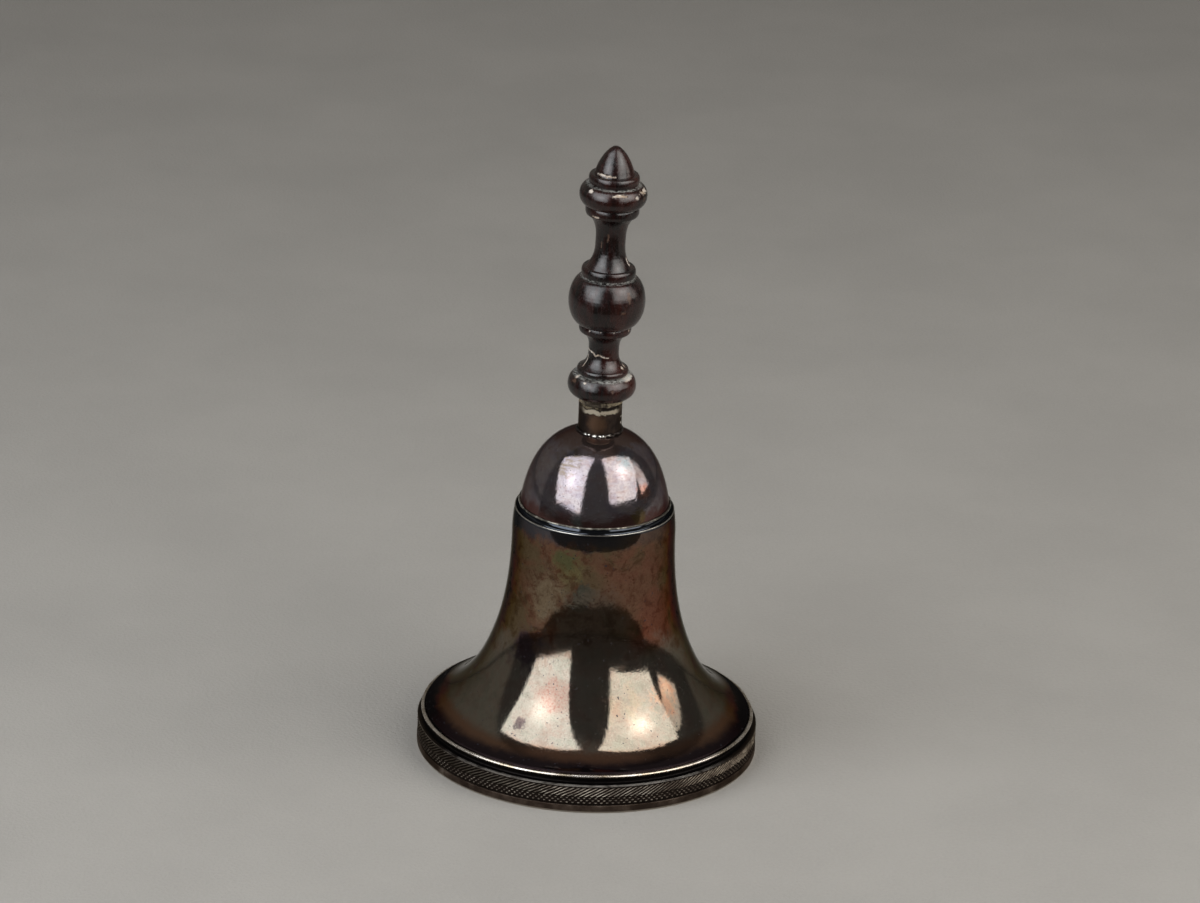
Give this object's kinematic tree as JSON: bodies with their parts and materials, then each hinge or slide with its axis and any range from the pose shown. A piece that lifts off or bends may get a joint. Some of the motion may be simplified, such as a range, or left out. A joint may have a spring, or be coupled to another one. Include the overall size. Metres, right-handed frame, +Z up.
{
  "type": "service bell",
  "caption": "Hand-rung table bell: a flared spun metal bell on a milled rim, a domed crown, a turned wooden handle and a clapper on a swivelling stirrup.",
  "frame": {"origin": "middle of the underside of the mouth ring, on the surface that the bell stands on", "axes": "+Z up the bell's axis; the handle leans 1.3 degrees towards +X"},
  "size_m": [0.065, 0.065, 0.1211],
  "materials": {
    "skirt_plate": "polished silver plate under brown, olive and purple tarnish",
    "crown_plate": "polished silver plate under purple-brown tarnish",
    "ferrule_plate": "silver plate under dark brown tarnish, worn bright at the mouth",
    "rim_plate": "milled silver plate, tarnished in the cuts",
    "bright_edge": "rubbed silver plate",
    "solder": "dull soft solder",
    "cement": "rough cream setting cement",
    "rosewood": "turned and french-polished, chipped",
    "iron": "darkened",
    "brass": "turned, toned"
  },
  "bodies": {
    "bell": {"mouth_ring": "rim_plate", "milled_strip": "rim_plate", "rim_bead": "bright_edge", "skirt_shell": "skirt_plate", "crown_shell": "crown_plate", "crown_solder": "solder", "ferrule": "ferrule_plate", "ferrule_solder": "solder", "setting_cement": "cement", "handle": "rosewood", "hanger_screw": "iron", "crown_washer": "iron"},
    "yoke": {"clapper_yoke": "brass", "yoke_pin": "iron"},
    "clapper": {"clapper_arm": "brass", "clapper_ball": "brass", "ball_washer": "iron"}
  },
  "joints": [
    {"name": "yoke_turn", "type": "hinge", "parent": "bell", "child": "yoke", "pos_m": [0, 0, 0.0614], "axis": [0, 0, 1], "continuous": true},
    {"name": "clapper_swing", "type": "hinge", "parent": "yoke", "child": "clapper", "pos_m": [0, 0, 0.0552], "axis": [0, 1, 0], "range_deg": [-21.2, 21.2]}
  ]
}
